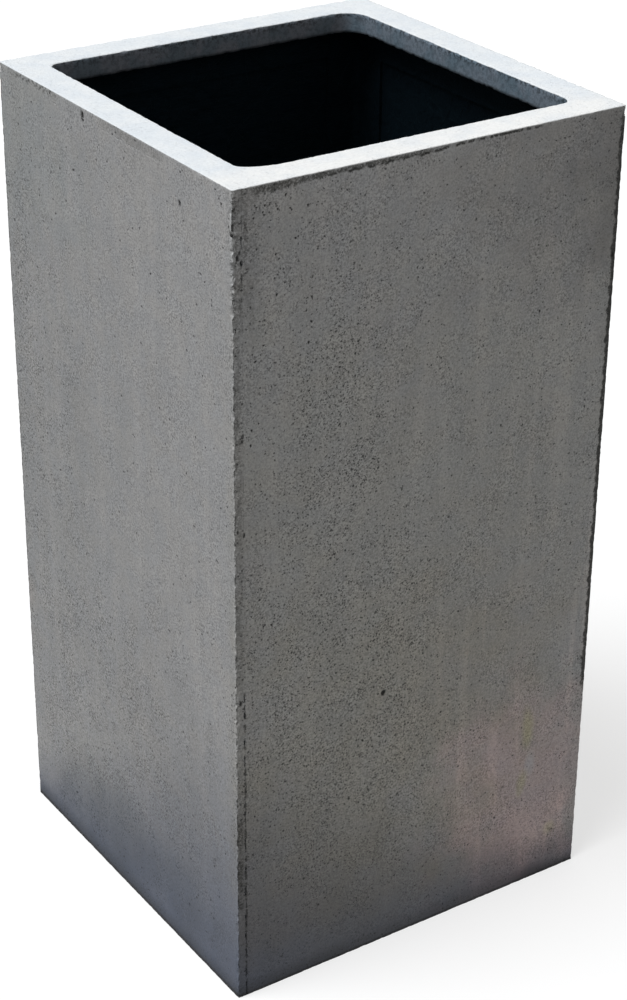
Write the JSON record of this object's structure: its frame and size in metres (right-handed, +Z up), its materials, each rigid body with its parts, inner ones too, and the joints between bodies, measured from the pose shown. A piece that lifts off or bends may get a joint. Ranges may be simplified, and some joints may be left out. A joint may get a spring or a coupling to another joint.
{
  "type": "tall planter",
  "caption": "Tall square floor planter with a concrete-look skin, a flat pale rim, a black inside and a lift-out drain plug.",
  "frame": {"origin": "middle of the square footprint, on the floor", "axes": "+Z up; the front panel, whose joint lines show, faces -Y; +X to its right"},
  "size_m": [0.4, 0.4, 0.8],
  "materials": {
    "stone_finish": "matte",
    "rim_finish": "matte",
    "black_laminate": "matte",
    "raw_laminate": "satin",
    "plug_rubber": "matte"
  },
  "bodies": {
    "planter": {"left_wall": "stone_finish", "right_wall": "stone_finish", "front_wall": "stone_finish", "back_wall": "stone_finish", "rim_frame": "rim_finish", "base_panel": "black_laminate", "base_cleat_front": "raw_laminate", "base_cleat_right": "raw_laminate", "base_cleat_back": "raw_laminate", "base_cleat_left": "raw_laminate", "base_tape_front": "black_laminate", "base_tape_right": "black_laminate", "base_tape_back": "black_laminate", "base_tape_left": "black_laminate", "rim_tape_front": "black_laminate", "rim_tape_right": "black_laminate", "rim_tape_back": "black_laminate", "rim_tape_left": "black_laminate", "corner_tape_front_left": "black_laminate", "corner_tape_front_right": "black_laminate", "corner_tape_back_right": "black_laminate", "corner_tape_back_left": "black_laminate"},
    "plug": {"drain_plug": "plug_rubber"}
  },
  "joints": [
    {"name": "plug_lift", "type": "slide", "parent": "planter", "child": "plug", "axis": [0, 0, 1], "range_m": [0, 0.8]}
  ]
}
